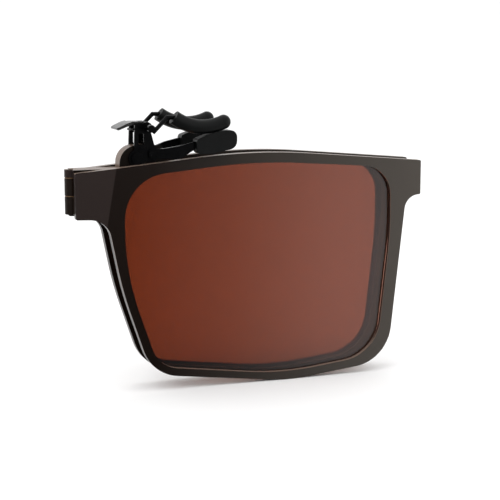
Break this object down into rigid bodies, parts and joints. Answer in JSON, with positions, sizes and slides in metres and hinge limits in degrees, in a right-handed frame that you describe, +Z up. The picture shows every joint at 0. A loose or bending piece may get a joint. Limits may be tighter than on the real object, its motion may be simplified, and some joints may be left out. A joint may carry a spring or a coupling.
{
  "type": "clip on sunglasses",
  "caption": "Folding clip-on sunglasses with tinted lenses, shown folded, with a flip-up sprung bridge clip and rubber-sleeved jaws.",
  "frame": {"origin": "bottom centre of the box around the whole object in its folded pose", "axes": "+X from the nose hinge towards the temple ends of the folded halves, -Y out of the near half's outer face, +Z up"},
  "size_m": [0.0712, 0.0128, 0.0533],
  "materials": {
    "frame_plastic": "satin dark brown moulding",
    "tinted_lens": "polished reddish brown tint",
    "hinge_metal": "satin",
    "washer_plastic": "matte",
    "black_metal": "satin black",
    "spring_steel": "satin",
    "soft_rubber": "matte dark grey"
  },
  "bodies": {
    "bridge": {"bridge_ear": "frame_plastic", "centre_hinge_pin": "hinge_metal", "hinge_washers": "washer_plastic", "flip_rivet": "black_metal"},
    "near_half": {"near_rim": "frame_plastic", "near_lens": "tinted_lens", "near_hinge_leaf": "hinge_metal", "near_leaf_rivets": "hinge_metal"},
    "far_half": {"far_rim": "frame_plastic", "far_lens": "tinted_lens", "far_hinge_leaf": "hinge_metal", "far_leaf_rivets": "hinge_metal"},
    "clip": {"clip_bracket": "black_metal", "near_lower_arm": "black_metal", "far_lower_arm": "black_metal", "arm_rivets": "black_metal", "near_lower_pad": "soft_rubber", "far_lower_pad": "soft_rubber", "torsion_spring": "spring_steel"},
    "lever": {"thumb_lever": "black_metal", "lever_pin": "black_metal", "near_wire_prong": "black_metal", "far_wire_prong": "black_metal", "near_sleeve": "soft_rubber", "far_sleeve": "soft_rubber"}
  },
  "joints": [
    {"name": "near_fold", "type": "hinge", "parent": "bridge", "child": "near_half", "pos_m": [-0.03442, 0, 0.0379], "axis": [0, 0, -1], "range_deg": [0, 90]},
    {"name": "far_fold", "type": "hinge", "parent": "bridge", "child": "far_half", "pos_m": [-0.03442, 0, 0.0379], "axis": [0, 0, 1], "range_deg": [0, 90]},
    {"name": "clip_flip", "type": "hinge", "parent": "bridge", "child": "clip", "pos_m": [-0.02223, 0, 0.0445], "axis": [0, -1, 0], "range_deg": [0, 30]},
    {"name": "lever_press", "type": "hinge", "parent": "clip", "child": "lever", "pos_m": [-0.02032, 0, 0.0502], "axis": [0, -1, 0], "range_deg": [0, 20], "stiffness_Nm_per_rad": 0.03, "springref_deg": -34.38, "deforming": ["torsion_spring"]}
  ]
}
